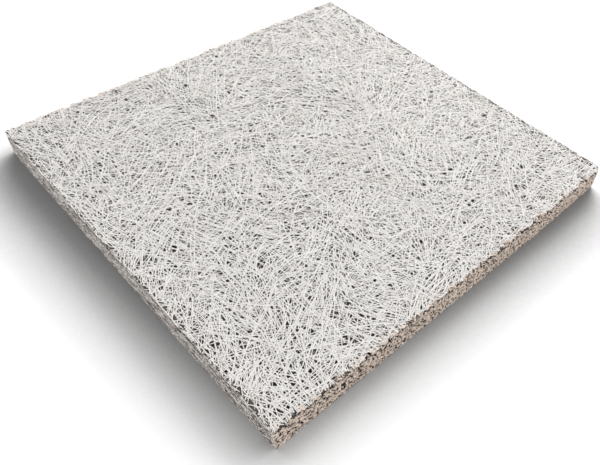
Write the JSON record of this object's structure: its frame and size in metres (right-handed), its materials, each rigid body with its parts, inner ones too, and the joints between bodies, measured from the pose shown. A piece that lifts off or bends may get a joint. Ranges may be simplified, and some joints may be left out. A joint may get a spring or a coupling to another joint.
{
  "type": "wood wool panel",
  "caption": "Square cement-bonded wood wool panel with a painted strand face, raw edges and back, for ceilings and walls.",
  "frame": {"origin": "centre of the back face, on the plane of its highest strands", "axes": "+Z out of the painted front face, X along the two sawn edges, Y along the two formed edges"},
  "size_m": [0.6, 0.6, 0.04],
  "materials": {
    "wood_wool": "cement-bonded strands, matt off-white paint on the front face, raw grey-beige on edges and back"
  },
  "bodies": {
    "root": {"panel": "wood_wool"}
  },
  "joints": []
}
